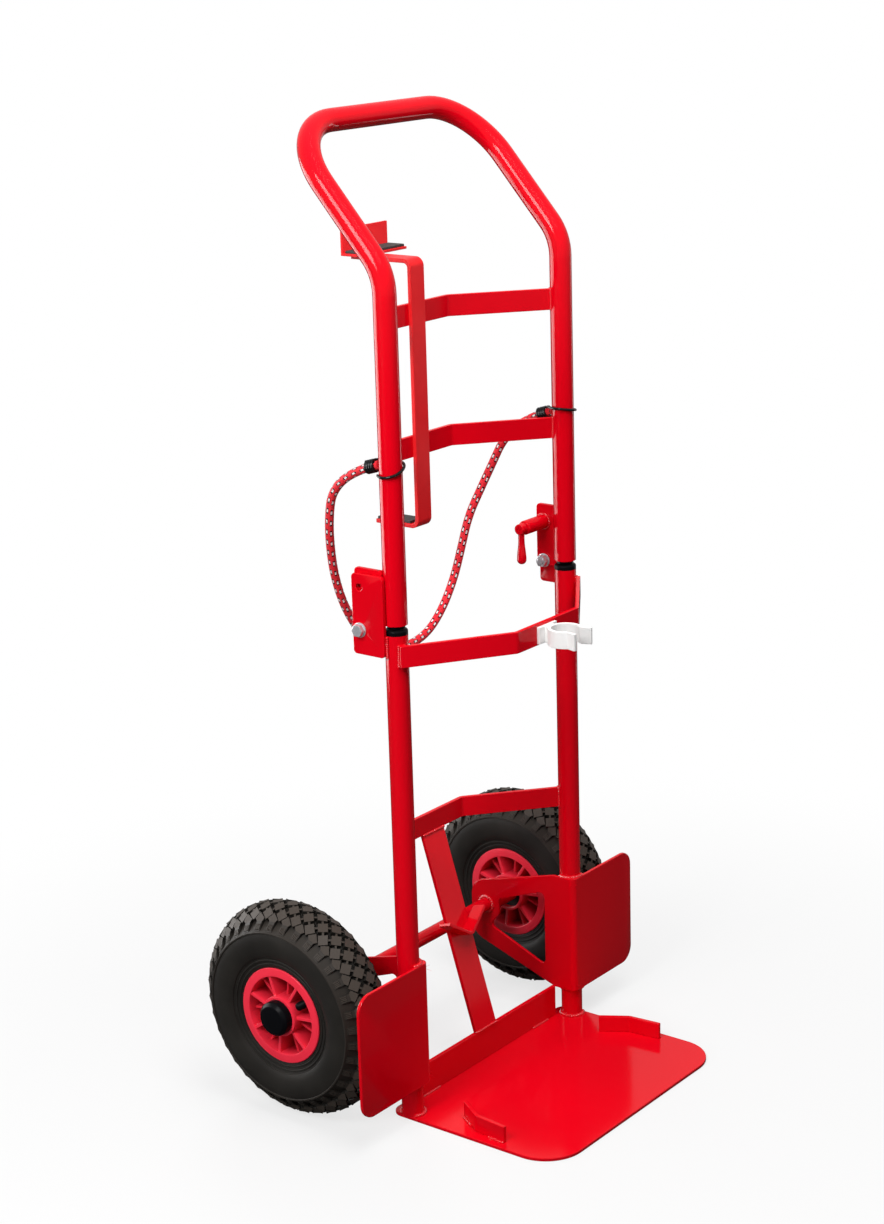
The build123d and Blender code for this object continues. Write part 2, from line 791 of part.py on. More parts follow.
# Angle shelf on the holder's upper arm
shelf_back = holder_y + holder_top_arm + shelf_t
with BuildPart() as holder_shelf:
    with BuildSketch(Plane.YZ.offset(shelf_offset)):
        with Locations((shelf_back, holder_top)):
            Rectangle(shelf_leg, shelf_t, align=(Align.MAX, Align.MIN))
            Rectangle(shelf_t, shelf_leg, align=(Align.MAX, Align.MIN))
    extrude(amount=shelf_length / 2, both=True)
save(holder_shelf, "holder_shelf")

# Rubber pads on the shelf and on the lower arm
with BuildPart() as holder_pad_top:
    with Locations((shelf_offset, shelf_back - shelf_t - pad_margin, holder_top + shelf_t)):
        Box(
            shelf_length - 2 * pad_margin,
            shelf_leg - shelf_t - 2 * pad_margin,
            pad_t,
            align=(Align.CENTER, Align.MAX, Align.MIN),
        )
save(holder_pad_top, "holder_pad_top")

with BuildPart() as holder_pad_bottom:
    with Locations((holder_offset, holder_y + holder_arm - pad_margin, holder_bottom + bar_t)):
        Box(
            bar_width - pad_margin,
            pad_length,
            pad_t,
            align=(Align.CENTER, Align.MAX, Align.MIN),
        )
save(holder_pad_bottom, "holder_pad_bottom")

# Pipe clip on the front face of the front cradle, open toward the front
clip_r = (clip_pipe_d + clip_wall) / 2
clip_y = front_cradle_face - clip_base_t - clip_neck - clip_wall - clip_pipe_d / 2
clip_bottom = front_cradle_z + bar_width / 2 - clip_top_drop - clip_height
mouth_half = radians(clip_mouth_angle / 2)
lip_angle = radians(clip_lip_flare)
lip_root = Vector(sin(mouth_half), -cos(mouth_half)) * clip_r
lip_end = lip_root + Vector(sin(lip_angle), -cos(lip_angle)) * clip_lip
mouth_reach = 2 * clip_r
with BuildPart() as pipe_clip:
    with BuildSketch(Plane((clip_offset, front_cradle_face, clip_bottom))):
        Rectangle(clip_base_width, clip_base_t, align=(Align.CENTER, Align.MAX))
        Rectangle(clip_neck_width, clip_base_t + clip_neck + clip_wall, align=(Align.CENTER, Align.MAX))
    with BuildSketch(Plane((clip_offset, clip_y, clip_bottom))):
        Circle(clip_pipe_d / 2 + clip_wall)
        Polygon(
            (0, 0),
            (-mouth_reach * tan(mouth_half), -mouth_reach),
            (mouth_reach * tan(mouth_half), -mouth_reach),
            align=None,
            mode=Mode.SUBTRACT,
        )
        with BuildLine():
            Line(lip_root, lip_end)
            Line((-lip_root.X, lip_root.Y), (-lip_end.X, lip_end.Y))
        trace(line_width=clip_wall)
    extrude(amount=clip_height)
    with BuildSketch(Plane((clip_offset, clip_y, clip_bottom))):
        Circle(clip_pipe_d / 2)
    extrude(amount=clip_height, mode=Mode.SUBTRACT)
save(pipe_clip, "pipe_clip")

# Bungee hooks: one wire each, bent round the upright and then wound round the end of the cord
coil_dir = Vector(0, cos(radians(cord_dip)), -sin(radians(cord_dip)))
coil_up = Vector(0, sin(radians(cord_dip)), cos(radians(cord_dip)))
coil_side = Vector(1, 0, 0)
hook_r = tube_r + hook_wire_d / 2 + hook_slack


def coil_foot(height):
    """The middle of the first turn, for a hook whose wire leaves the coil at the given height."""
    return Vector(half, coil_setback, height - coil_r * cos(radians(cord_dip)))


def coil_point(height, turns):
    angle = 2 * pi * turns
    radial = coil_side * sin(angle) + coil_up * cos(angle)
    return coil_foot(height) + coil_dir * (coil_pitch * turns) + radial * coil_r


def coil_tangent(turns):
    angle = 2 * pi * turns
    around = coil_side * cos(angle) - coil_up * sin(angle)
    return (around * (2 * pi * coil_r) + coil_dir * coil_pitch).normalized()


def bend_hook(height, tilt):
    """A right-hand hook: tip, half ring that dips by the given tilt at the front, then the coil."""
    forward = Vector(0, -cos(radians(tilt)), -sin(radians(tilt)))
    reach = hook_r / cos(radians(tilt)) - hook_r
    outer_leg = Vector(half + hook_r, hook_slack, height) + forward * reach
    inner_leg = Vector(half - hook_r, hook_slack, height) + forward * reach
    coil_lead = inner_leg - forward * (reach + hook_slack)
    with BuildPart() as hook:
        with BuildLine() as path:
            Line(outer_leg - forward * hook_tip, outer_leg)
            biarc(outer_leg, forward, inner_leg, -forward)
            Line(inner_leg, coil_lead)
            biarc(coil_lead, -forward, coil_point(height, 0), coil_tangent(0))
            for quarter in range(4 * coil_turns):
                biarc(
                    coil_point(height, quarter / 4),
                    coil_tangent(quarter / 4),
                    coil_point(height, (quarter + 1) / 4),
                    coil_tangent((quarter + 1) / 4),
                )
            last = coil_point(height, coil_turns)
            Line(last, last + coil_tangent(coil_turns) * hook_wire_d)
        with BuildSketch(Plane(origin=outer_leg - forward * hook_tip, z_dir=forward)):
            Circle(hook_wire_d / 2)
        sweep()
    print_turn_gap(path.wire())
    return hook


def print_turn_gap(wire):
    """Least gap between neighbouring turns, measured on points along the wire."""
    samples = [wire.position_at(index / 900) for index in range(901)]
    apart = int(pi * coil_r / wire.length * 900)
    least = min(
        (samples[late] - samples[early]).length
        for early in range(901)
        for late in range(early + apart, 901)
    )
    print(f"hook wire: length {wire.length:.1f}, least gap between turns {least - hook_wire_d:.2f}")


save(bend_hook(right_hook_height, right_hook_tilt), "bungee_hook_right")
with BuildPart() as bungee_hook_left:
    mirror(bend_hook(left_hook_height, left_hook_tilt).part, about=Plane.YZ)
save(bungee_hook_left, "bungee_hook_left")

# Bungee cord, hanging behind the frame from the two hooks
cord_route = [
    (-160, 86, 737),
    (-155, 97, 700),
    (-145, 105, 662),
    (-131, 112, 624),
    (-112, 115, 584),
    (-84, 116, 546),
    (-46, 116, 517),
    (-6, 116, 510),
    (36, 116, 515),
    (68, 116, 538),
    (92, 115, 572),
    (105, 113, 606),
    (116, 109, 645),
    (134, 103, 676),
    (150, 97, 704),
    (161, 86, 736),
]
right_foot = coil_foot(right_hook_height)
right_end = right_foot - coil_dir * cord_tail
right_turn = right_foot + coil_dir * cord_lead
left_foot = coil_foot(left_hook_height) - coil_side * (2 * half)
left_end = left_foot - coil_dir * cord_tail
left_turn = left_foot + coil_dir * cord_lead
cord_points = [left_end, left_turn, *[Vector(*point) for point in cord_route], right_turn, right_end]
cord_runs = [late - early for early, late in zip(cord_points, cord_points[1:])]
cord_radii = [
    0.45 * min(before.length, after.length) / tan(radians(before.get_angle(after) / 2))
    for before, after in zip(cord_runs, cord_runs[1:])
]
with BuildPart() as bungee_cord:
    with BuildLine() as cord_path:
        FilletPolyline(*cord_points, radius=cord_radii)
    with BuildSketch(Plane(origin=left_end, z_dir=coil_dir)):
        Circle(cord_d / 2)
    sweep()
save(bungee_cord, "bungee_cord")

cord_length = cord_path.wire().length
section = pi * cord_d**2 / 4
print("cord radii:", ", ".join(f"{radius:.0f}" for radius in cord_radii))
print("cord runs:", ", ".join(f"{run.length:.0f}" for run in cord_runs))
print(f"cord length {cord_length:.1f}, volume over section times length {bungee_cord.part.volume / section / cord_length:.5f}")
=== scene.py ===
# %% [markdown]
# # A folding transport cart
# The real cart is red painted tube and flat bar on two air-filled tyres, with a toe plate, a hinge
# that folds the frame in half, and a bungee cord. The CAD model gives every piece its place and size.
# This lesson dresses that frame: paint, rubber, zinc and woven cord go on it, and the tread, the
# weld beads and the cord are modelled, because CAD leaves them plain.
#
# Everything is in metres, with +Z up, the toe plate toward -Y and the axle along X.

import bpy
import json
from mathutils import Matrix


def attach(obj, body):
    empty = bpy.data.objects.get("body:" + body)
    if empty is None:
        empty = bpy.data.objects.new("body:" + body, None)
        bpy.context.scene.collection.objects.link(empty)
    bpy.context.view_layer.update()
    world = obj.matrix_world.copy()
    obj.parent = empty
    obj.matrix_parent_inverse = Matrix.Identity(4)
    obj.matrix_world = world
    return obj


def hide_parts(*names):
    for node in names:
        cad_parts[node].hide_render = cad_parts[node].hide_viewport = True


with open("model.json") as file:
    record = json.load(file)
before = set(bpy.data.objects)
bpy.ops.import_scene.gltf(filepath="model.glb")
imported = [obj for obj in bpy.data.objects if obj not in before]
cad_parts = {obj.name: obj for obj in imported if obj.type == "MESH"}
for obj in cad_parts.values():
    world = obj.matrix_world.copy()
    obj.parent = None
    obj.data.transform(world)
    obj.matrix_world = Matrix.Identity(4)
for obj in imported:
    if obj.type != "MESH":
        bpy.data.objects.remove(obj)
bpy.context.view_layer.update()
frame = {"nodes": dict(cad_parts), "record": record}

# %% [markdown]
# ## The camera
# The photograph was taken with a long lens from the cart's left front, a little above it. A camera
# could be aimed by eye, but a heading, a dip and a roll that were fitted to the straight edges put
# every piece within a few pixels. The three directions become the columns of the camera's matrix.

# %% Camera
import json
from math import cos, pi, radians, sin

import bmesh
import bpy
from mathutils import Matrix, Vector

scene = bpy.context.scene


def add_object(name, data):
    added = bpy.data.objects.new(name, data)
    scene.collection.objects.link(added)
    return added


heading, dip, roll = radians(51.869), radians(16.052), radians(-1.718)
camera_place = (-2.178064, -1.647170, 1.357207)
sensor_width = 36
focal_pixels, photo_width = 2468.746, 884

look = Vector((sin(heading) * cos(dip), cos(heading) * cos(dip), -sin(dip)))
level_side = Vector((cos(heading), -sin(heading), 0))
level_up = level_side.cross(look)
camera_side = level_side * cos(roll) + level_up * sin(roll)
camera_up = level_up * cos(roll) - level_side * sin(roll)

camera_data = bpy.data.cameras.new("photo_view")
camera_data.sensor_fit = "HORIZONTAL"
camera_data.sensor_width = sensor_width
camera_data.lens = sensor_width * focal_pixels / photo_width
camera = add_object("photo_view", camera_data)
camera_turn = Matrix((camera_side, camera_up, -look)).transposed().to_4x4()
camera.matrix_world = Matrix.Translation(camera_place) @ camera_turn
scene.camera = camera
print("lens:", round(camera_data.lens, 2), "mm")

# %% [markdown]
# ## Bent lines
# The cord and the wire of its hooks are round and bent. Each starts as a smooth NURBS line, and a
# round bevel on the line makes the tube. The order is set after the points are added, because
# Blender limits it to the number of points that are there.

# %% Helpers for bent lines
def nurbs_line(name, points, resolution):
    curve = bpy.data.curves.new(name, "CURVE")
    curve.dimensions = "3D"
    curve.resolution_u = resolution
    spline = curve.splines.new("NURBS")
    spline.points.add(len(points) - 1)
    for control, point in zip(spline.points, points):
        control.co = (*point, 1)
    spline.order_u = 3
    spline.use_endpoint_u = True
    return add_object(name, curve)


def line_mesh(line, radius=0.0, bevel_steps=0):
    line.data.bevel_depth = radius
    line.data.bevel_resolution = bevel_steps
    line.data.use_fill_caps = radius > 0
    bpy.context.view_layer.update()
    return bpy.data.meshes.new_from_object(line)


# %% [markdown]
# ## The route of the bungee cord
# The cord hangs in a loop behind the frame, from a hook on each upright. Its route is one line through
# the same points, in millimetres, that the CAD tube uses. The line's length is measured on the points
# that Blender puts along it.

# %% Cord route
cord_radius = 0.005
cord_points = [
    (-162, 15.2, 773.77), (-162, 49.74, 763.61), (-160, 86, 737), (-155, 97, 700), (-145, 105, 662),
    (-131, 112, 624), (-112, 115, 584), (-84, 116, 546), (-46, 116, 517), (-6, 116, 510),
    (36, 116, 515), (68, 116, 538), (92, 115, 572), (105, 113, 606), (116, 109, 645),
    (134, 103, 676), (150, 97, 704), (161, 86, 736), (162, 49.74, 765.11), (162, 15.2, 775.27),
]

route = nurbs_line("cord_route", [Vector(point) / 1000 for point in cord_points], resolution=16)
route_mesh = line_mesh(route)
route_line = [vertex.co.copy() for vertex in route_mesh.vertices]
along_route = [0.0]
for before, after in zip(route_line, route_line[1:]):
    along_route.append(along_route[-1] + (after - before).length)
print("cord points:", len(route_line), "length:", round(along_route[-1], 4))

# %% [markdown]
# ## The cord as a tube
# Giving the same line a round bevel makes the tube, with a UV map that runs along and round it. The
# map's first number is turned into metres of cord, so that the woven flecks keep one size however
# far apart the route's points are.

# %% Cord tube
cord_mesh = line_mesh(route, cord_radius, bevel_steps=6)
bpy.data.objects.remove(route)
cord_mesh.name = "bungee_cord_woven"
last_ring = len(route_line) - 1
for corner in cord_mesh.uv_layers.active.data:
    corner.uv.x = along_route[min(last_ring, max(0, round(corner.uv.x * last_ring)))]
cord_mesh.shade_smooth()
cord_mesh.set_sharp_from_angle(angle=radians(50))
cord = add_object("bungee_cord_woven", cord_mesh)
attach(cord, "upper_frame")
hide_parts("bungee_cord")
print("cord faces:", len(cord_mesh.polygons))

# %% [markdown]
# ## Node groups
# Several finishes share an effect: paint, plastic and rubber all have a fine grain and broad, faint
# patches of another tone. Such an effect is a node group, made once and placed in each material with
# its own numbers. Small helpers make a group with named sockets, place it, and do sums between
# nodes.


# %% Helpers for node groups
def new_group(name, inputs, outputs):
    group = bpy.data.node_groups.new(name, "ShaderNodeTree")
    for label, value in inputs:
        socket = group.interface.new_socket(name=label, in_out="INPUT", socket_type="NodeSocketFloat")
        socket.default_value = value
    for label in outputs:
        group.interface.new_socket(name=label, in_out="OUTPUT", socket_type="NodeSocketFloat")
    return group, group.nodes.new("NodeGroupInput").outputs, group.nodes.new("NodeGroupOutput").inputs


def place_group(tree, group, **values):
    node = tree.nodes.new("ShaderNodeGroup")
    node.node_tree = group
    for label, value in values.items():
        node.inputs[label].default_value = value
    return node.outputs


def add_math(tree, operation, first, second=0.0):
    node = tree.nodes.new("ShaderNodeMath")
    node.operation = operation
    for socket, value in zip(node.inputs, (first, second)):
        if isinstance(value, (int, float)):
            socket.default_value = value
        else:
            tree.links.new(value, socket)
    return node.outputs[0]


# %% [markdown]
# ### Grain
# Grain gives two numbers for every point: a fine height, for the bump, and a broad patch value, for
# small changes of colour and gloss. Both read Object coordinates, so they stay on the piece.

# %% Grain group
grain, grain_in, grain_out = new_group(
    "surface_grain", [("Fine", 600.0), ("Broad", 9.0)], ["Height", "Patches"]
)
grain_place = grain.nodes.new("ShaderNodeTexCoord").outputs["Object"]
for socket_name, result, detail in (("Fine", "Height", 3.0), ("Broad", "Patches", 5.0)):
    noise = grain.nodes.new("ShaderNodeTexNoise")
    noise.inputs["Detail"].default_value = detail
    grain.links.new(grain_place, noise.inputs["Vector"])
    grain.links.new(grain_in[socket_name], noise.inputs["Scale"])
    grain.links.new(noise.outputs["Fac"], grain_out[result])
print("group:", grain.name)

# %% [markdown]
# ### Dust
# Dust settles on what faces up and in the broad patches. The mask comes from the surface's own
# normal and a noise, and each material says how much of it there is. A little also holds on sides.

# %% Dust group
side_dust = 0.12
dust, dust_in, dust_out = new_group("settled_dust", [("Amount", 0.2), ("Scale", 30.0)], ["Mask"])
dust_noise = dust.nodes.new("ShaderNodeTexNoise")
dust_noise.inputs["Detail"].default_value = 6.0
dust.links.new(dust.nodes.new("ShaderNodeTexCoord").outputs["Object"], dust_noise.inputs["Vector"])
dust.links.new(dust_in["Scale"], dust_noise.inputs["Scale"])
facing = dust.nodes.new("ShaderNodeSeparateXYZ")
dust.links.new(dust.nodes.new("ShaderNodeNewGeometry").outputs["Normal"], facing.inputs[0])
upward = add_math(dust, "MAXIMUM", facing.outputs["Z"], side_dust)
patchy = add_math(dust, "MULTIPLY", upward, dust_noise.outputs["Fac"])
dust.links.new(add_math(dust, "MULTIPLY", patchy, dust_in["Amount"]), dust_out["Mask"])
print("group:", dust.name)

# %% [markdown]
# ## Mixing and fading
# Two more small jobs come up in almost every material: mixing two colours by a mask, and turning a
# number from one range into another. Each gets a helper, which takes a plain colour or a socket.


# %% Helpers for colours and ranges
def mix_colours(tree, mask, under, over):
    mix = tree.nodes.new("ShaderNodeMix")
    mix.data_type = "RGBA"
    tree.links.new(mask, mix.inputs["Factor"])
    for label, colour in (("A", under), ("B", over)):
        if isinstance(colour, tuple):
            mix.inputs[label].default_value = (*colour, 1)
        else:
            tree.links.new(colour, mix.inputs[label])
    return mix.outputs["Result"]


def map_range(tree, value, numbers, smooth=False):
    node = tree.nodes.new("ShaderNodeMapRange")
    if smooth:
        node.interpolation_type = "SMOOTHSTEP"
    for label, number in zip(("From Min", "From Max", "To Min", "To Max"), numbers):
        node.inputs[label].default_value = number
    tree.links.new(value, node.inputs["Value"])
    return node.outputs["Result"]


# %% [markdown]
# ## Finishes
# Every finish here is a Principled shader with the grain and the dust. One function sets up what
# they share: two tones mixed by the broad patches, dust over them, a gloss that wanders a little
# and a bump from the fine grain. Numbers that are the same all over are set on the shader itself.
# Another function mixes in one more tone where an attribute on the mesh says so.

# %% Helpers for finishes
dust_tone = (0.3, 0.27, 0.24)


def shader_of(material):
    return material.node_tree.nodes["Principled BSDF"]


def new_finish(name, tone, other_tone, gloss, fine, broad, bump, dusty=0.0, specular=0.5):
    material = bpy.data.materials.new(name)
    material.use_nodes = True
    tree = material.node_tree
    shader = shader_of(material)
    shader.inputs["Specular IOR Level"].default_value = specular
    grained = place_group(tree, grain, Fine=fine, Broad=broad)
    settled = place_group(tree, dust, Amount=dusty)
    tones = mix_colours(tree, grained["Patches"], tone, other_tone)
    dusted = mix_colours(tree, settled["Mask"], tones, dust_tone)
    tree.links.new(dusted, shader.inputs["Base Color"])
    rough = map_range(tree, grained["Patches"], (0, 1, *gloss))
    tree.links.new(rough, shader.inputs["Roughness"])
    relief = tree.nodes.new("ShaderNodeBump")
    relief.inputs["Strength"].default_value, relief.inputs["Distance"].default_value = bump
    tree.links.new(grained["Height"], relief.inputs["Height"])
    tree.links.new(relief.outputs["Normal"], shader.inputs["Normal"])
    return material


def tint_by_attribute(material, attribute, tone):
    tree = material.node_tree
    reader = tree.nodes.new("ShaderNodeAttribute")
    reader.attribute_name = attribute
    base = shader_of(material).inputs["Base Color"]
    tinted = mix_colours(tree, reader.outputs["Fac"], base.links[0].from_socket, tone)
    tree.links.new(tinted, base)


# %% [markdown]
# ### Red enamel
# The frame is powder coated: a deep, clean red with a hard gloss, smooth enough that the toe plate
# mirrors the load stops. The paint's slight ripple is very low and a centimetre or more long. The
# specular level is small, because the red stays saturated even where it mirrors a white room.
#
# The holder at the back is made of rolled bar that was painted as it came. Its coat is thinner and
# its surface duller, and its red is lighter and pinker as a painted reflection of something pale in
# front of it, so it gets a finish of its own. So do the weld beads, where the coat gathers thick and
# wet in the ripples and glints.

# %% Red enamel
red_enamel = new_finish(
    "red_enamel", (0.74, 0.0003, 0.0090), (0.68, 0.0002, 0.0070),
    gloss=(0.09, 0.13), fine=40.0, broad=7.0, bump=(0.004, 0.0003), dusty=0.006, specular=0.2,
)
# the holder's lighter, pinker tone is a painted reflection; its higher roughness is its own duller
# surface
holder_enamel_painted_reflection = new_finish(
    "holder_enamel_painted_reflection", (0.84, 0.0200, 0.0240), (0.74, 0.0110, 0.0160),
    gloss=(0.30, 0.44), fine=420.0, broad=60.0, bump=(0.10, 0.0003), dusty=0.03, specular=0.2,
)
weld_enamel = new_finish(
    "weld_enamel", (0.74, 0.0020, 0.0110), (0.66, 0.0010, 0.0080),
    gloss=(0.10, 0.18), fine=300.0, broad=60.0, bump=(0.02, 0.0003), specular=0.9,
)
print("finishes:", red_enamel.name, holder_enamel_painted_reflection.name, weld_enamel.name)

# %% [markdown]
# ### Rim plastic
# The wheels' centres are moulded in a plastic that is softer in gloss than the enamel, with the fine
# grain of the mould. It is a little pinker and brighter, partly its own colour and partly a painted
# sheen. The deep bays between the ribs are darker, as painted shade in the recesses. An attribute on
# the mesh gives the depth: 0 at the flange, 1 at the web.

# %% Rim plastic
# the pinker, brighter tones are partly the plastic's colour and partly a painted sheen
rim_plastic = new_finish(
    "rim_plastic", (0.98, 0.034, 0.070), (0.94, 0.024, 0.056),
    gloss=(0.28, 0.38), fine=900.0, broad=12.0, bump=(0.08, 0.0002), dusty=0.02, specular=0.35,
)
# the dark tone where the depth is 1 is painted shade in the bays between the ribs
tint_by_attribute(rim_plastic, "depth", (0.30, 0.0010, 0.0070))
print("finish:", rim_plastic.name)

# %% [markdown]
# ### Rubber
# The tyres are almost black. The blocks' faces are dry and dusty, a brown grey, and the slots between
# them stay black. An attribute on the mesh tells the material: 1 on a block's face, 0 in a slot.

# %% Tyre rubber
tyre_rubber = new_finish(
    "tyre_rubber", (0.0014, 0.0013, 0.0014), (0.0230, 0.0205, 0.0175),
    gloss=(0.42, 0.58), fine=1100.0, broad=22.0, bump=(0.22, 0.0003), dusty=0.03, specular=0.16,
)
tint_by_attribute(tyre_rubber, "worn", (0.051, 0.041, 0.034))
print("finish:", tyre_rubber.name)

# %% [markdown]
# ### Black plastic, coated wire, pads and the white clip
# The caps, plugs and valves are black plastic with a half gloss. The hooks are wire in a thick
# glossy coat. The holder's pads are matt rubber with a coarse grain, and the clip is white nylon,
# which lets a little light into itself.

# %% Plastics and pads
black_plastic = new_finish(
    "black_plastic", (0.0024, 0.0026, 0.0036), (0.0040, 0.0042, 0.0054),
    gloss=(0.24, 0.34), fine=1400.0, broad=40.0, bump=(0.08, 0.0002), dusty=0.01, specular=0.05,
)
coated_wire = new_finish(
    "coated_wire", (0.0040, 0.0040, 0.0046), (0.0070, 0.0070, 0.0076),
    gloss=(0.12, 0.20), fine=700.0, broad=60.0, bump=(0.08, 0.0002), specular=0.3,
)
pad_rubber = new_finish(
    "pad_rubber", (0.026, 0.026, 0.027), (0.042, 0.041, 0.040),
    gloss=(0.66, 0.82), fine=1500.0, broad=90.0, bump=(0.55, 0.0005), dusty=0.12,
)
clip_nylon = new_finish(
    "clip_nylon", (0.88, 0.88, 0.87), (0.83, 0.83, 0.82),
    gloss=(0.32, 0.44), fine=900.0, broad=35.0, bump=(0.08, 0.0002), specular=0.2,
)
shader_of(clip_nylon).inputs["Subsurface Weight"].default_value = 0.12
shader_of(clip_nylon).inputs["Subsurface Radius"].default_value = (0.003, 0.003, 0.003)
print("finishes:", black_plastic.name, coated_wire.name, pad_rubber.name, clip_nylon.name)

# %% [markdown]
# ### Zinc and steel
# The hinge bolts are zinc plated: bright, faintly blue, with a fine cloud in the plating. The
# bearings, deep in the hubs, are a dark steel.

# %% Metals
bright_zinc = new_finish(
    "bright_zinc", (0.78, 0.80, 0.83), (0.62, 0.64, 0.68),
    gloss=(0.16, 0.30), fine=1200.0, broad=160.0, bump=(0.10, 0.0002),
)
bearing_steel = new_finish(
    "bearing_steel", (0.060, 0.058, 0.056), (0.022, 0.021, 0.020),
    gloss=(0.34, 0.50), fine=1500.0, broad=120.0, bump=(0.10, 0.0001),
)
shader_of(bright_zinc).inputs["Metallic"].default_value = 0.7
shader_of(bearing_steel).inputs["Metallic"].default_value = 1.0
print("finishes:", bright_zinc.name, bearing_steel.name)

# %% [markdown]
# ### Woven sheath
# A bungee cord has a braided sheath over rubber strands, soft and dull, with a faint sheen of fibres.
# Its pattern has to follow the cord's bends. So it reads the cord's own UV map, in metres along and
# in turns round it.

# %% Woven sheath
woven_sheath = new_finish(
    "woven_sheath", (0.70, 0.010, 0.022), (0.88, 0.045, 0.062),
    gloss=(0.50, 0.64), fine=2400.0, broad=420.0, bump=(0.30, 0.0004), specular=0.12,
)
weave_tree, weave_shader = woven_sheath.node_tree, shader_of(woven_sheath)
weave_shader.inputs["Sheen Weight"].default_value = 0.10
weave_shader.inputs["Sheen Roughness"].default_value = 0.4
weave_place = weave_tree.nodes.new("ShaderNodeSeparateXYZ")
weave_tree.links.new(weave_tree.nodes.new("ShaderNodeUVMap").outputs["UV"], weave_place.inputs[0])
cord_along, cord_round = weave_place.outputs["X"], weave_place.outputs["Y"]


def weave(operation, first, second=0.0):
    return add_math(weave_tree, operation, first, second)


print("finish:", woven_sheath.name)

# %% [markdown]
# ### Stitches
# The sheath is red, with six rows of flecks along it: a white stitch about 4 mm long with a short,
# wider black one at each end, every 13.6 mm. Each row starts a little further along than the one
# beside it. Half widths are shares of a row, and half lengths are shares of the pitch.

# %% Stitches
stitch_rows, stitch_pitch, row_shift = 6, 0.0136, 0.17
stitches = (
    {"half_width": 0.27, "half_length": 0.27, "yarn": (0.012, 0.009, 0.010)},
    {"half_width": 0.20, "half_length": 0.14, "yarn": (0.84, 0.78, 0.78)},
)


def from_middle(value):
    return weave("ABSOLUTE", weave("SUBTRACT", weave("FRACT", value), 0.5))


rows = weave("MULTIPLY", cord_round, stitch_rows)
steps = weave("MULTIPLY", cord_along, 1 / stitch_pitch)
shifted = weave("ADD", steps, weave("MULTIPLY", weave("FLOOR", rows), row_shift))
across_row, along_step = from_middle(rows), from_middle(shifted)
yarn_colour = weave_shader.inputs["Base Color"].links[0].from_socket
for stitch in stitches:
    in_width = weave("LESS_THAN", across_row, stitch["half_width"])
    in_length = weave("LESS_THAN", along_step, stitch["half_length"])
    in_stitch = weave("MULTIPLY", in_width, in_length)
    yarn_colour = mix_colours(weave_tree, in_stitch, yarn_colour, stitch["yarn"])
weave_tree.links.new(yarn_colour, weave_shader.inputs["Base Color"])
print("stitches:", len(stitches), "kinds in", stitch_rows, "rows")

# %% [markdown]
# ### The braid's ripple
# The yarns of a braid cross on a slant. Two sets of slanting waves, one each way, give that ripple:
# the higher of the two at each point is the height, and it takes the place of the grain in the bump.

# %% Braid
braid_pitch = 0.0038
braid_along = weave("MULTIPLY", cord_along, 2 * pi / braid_pitch)
braid_round = weave("MULTIPLY", cord_round, 2 * pi * stitch_rows)
one_way = weave("SINE", weave("ADD", braid_along, braid_round))
other_way = weave("SINE", weave("SUBTRACT", braid_along, braid_round))
weave_relief = weave_shader.inputs["Normal"].links[0].from_node
weave_tree.links.new(weave("MAXIMUM", one_way, other_way), weave_relief.inputs["Height"])
cord_mesh.materials.clear()
cord_mesh.materials.append(woven_sheath)
print("braid pitch:", braid_pitch)

# %% [markdown]
# ## Finishes on the CAD pieces
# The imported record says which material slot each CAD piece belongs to. A table from slot to finish
# dresses all of them in one loop, and later cells use the same table for the pieces they make.

# %% Dress the CAD pieces
finish_of_slot = {
    "frame_red": red_enamel,
    "rim_red": rim_plastic,
    "tyre": tyre_rubber,
    "black_plastic": black_plastic,
    "zinc": bright_zinc,
    "bearing_steel": bearing_steel,
    "pad_rubber": pad_rubber,
    "clip_white": clip_nylon,
    "cord_red": woven_sheath,
    "hook_black": coated_wire,
}
slot_of_node = {part["node"]: part["material_slot"] for part in frame["record"]["subparts"]}
for node, slot in slot_of_node.items():
    for place in frame["nodes"][node].material_slots:
        place.material = finish_of_slot[slot]
body_of_node = {
    node: body for body, members in frame["record"]["behaviour"]["bodies"].items() for node in members
}
print("dressed:", len(slot_of_node), "pieces in", len(finish_of_slot), "finishes")

# %% [markdown]
# ## Rounded edges
# Sheet and bar never have knife edges: shearing, grinding and paint leave a radius of about half a
# millimetre, and that radius catches the light as a bright line. The CAD pieces are sharp, so each
# flat piece gets a copy whose hard edges are bevelled. The copy's loose triangles are merged first,
# and flat areas become single faces, so that only true edges are left to bevel.


# %% Helpers for finished pieces
finish_of_node = {"holder_bar": holder_enamel_painted_reflection, "holder_shelf": holder_enamel_painted_reflection}
flat_angle, hard_angle = radians(0.3), radians(38)


def finish_piece(bm, name, body, slot, smooth_below=24, finish=None):
    mesh = bpy.data.meshes.new(name)
    bm.to_mesh(mesh)
    bm.free()
    mesh.shade_smooth()
    mesh.set_sharp_from_angle(angle=radians(smooth_below))
    mesh.materials.append(finish or finish_of_slot[slot])
    piece = add_object(name, mesh)
    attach(piece, body)
    return piece


def clean_copy(node):
    bm = bmesh.new()
    bm.from_mesh(frame["nodes"][node].data)
    bmesh.ops.remove_doubles(bm, verts=bm.verts, dist=1e-6)
    bmesh.ops.dissolve_limit(bm, angle_limit=flat_angle, verts=bm.verts, edges=bm.edges)
    return bm


def bevel_hard(bm, width, steps=2, wanted=lambda middle: True):
    hard = [
        edge for edge in bm.edges
        if edge.is_manifold
        and edge.calc_face_angle() > hard_angle
        and wanted((edge.verts[0].co + edge.verts[1].co) / 2)
    ]
    bmesh.ops.bevel(
        bm, geom=hard, offset=width, offset_type="OFFSET", affect="EDGES",
        segments=steps, profile=0.5, material=-1, clamp_overlap=False,
    )
    return len(hard)


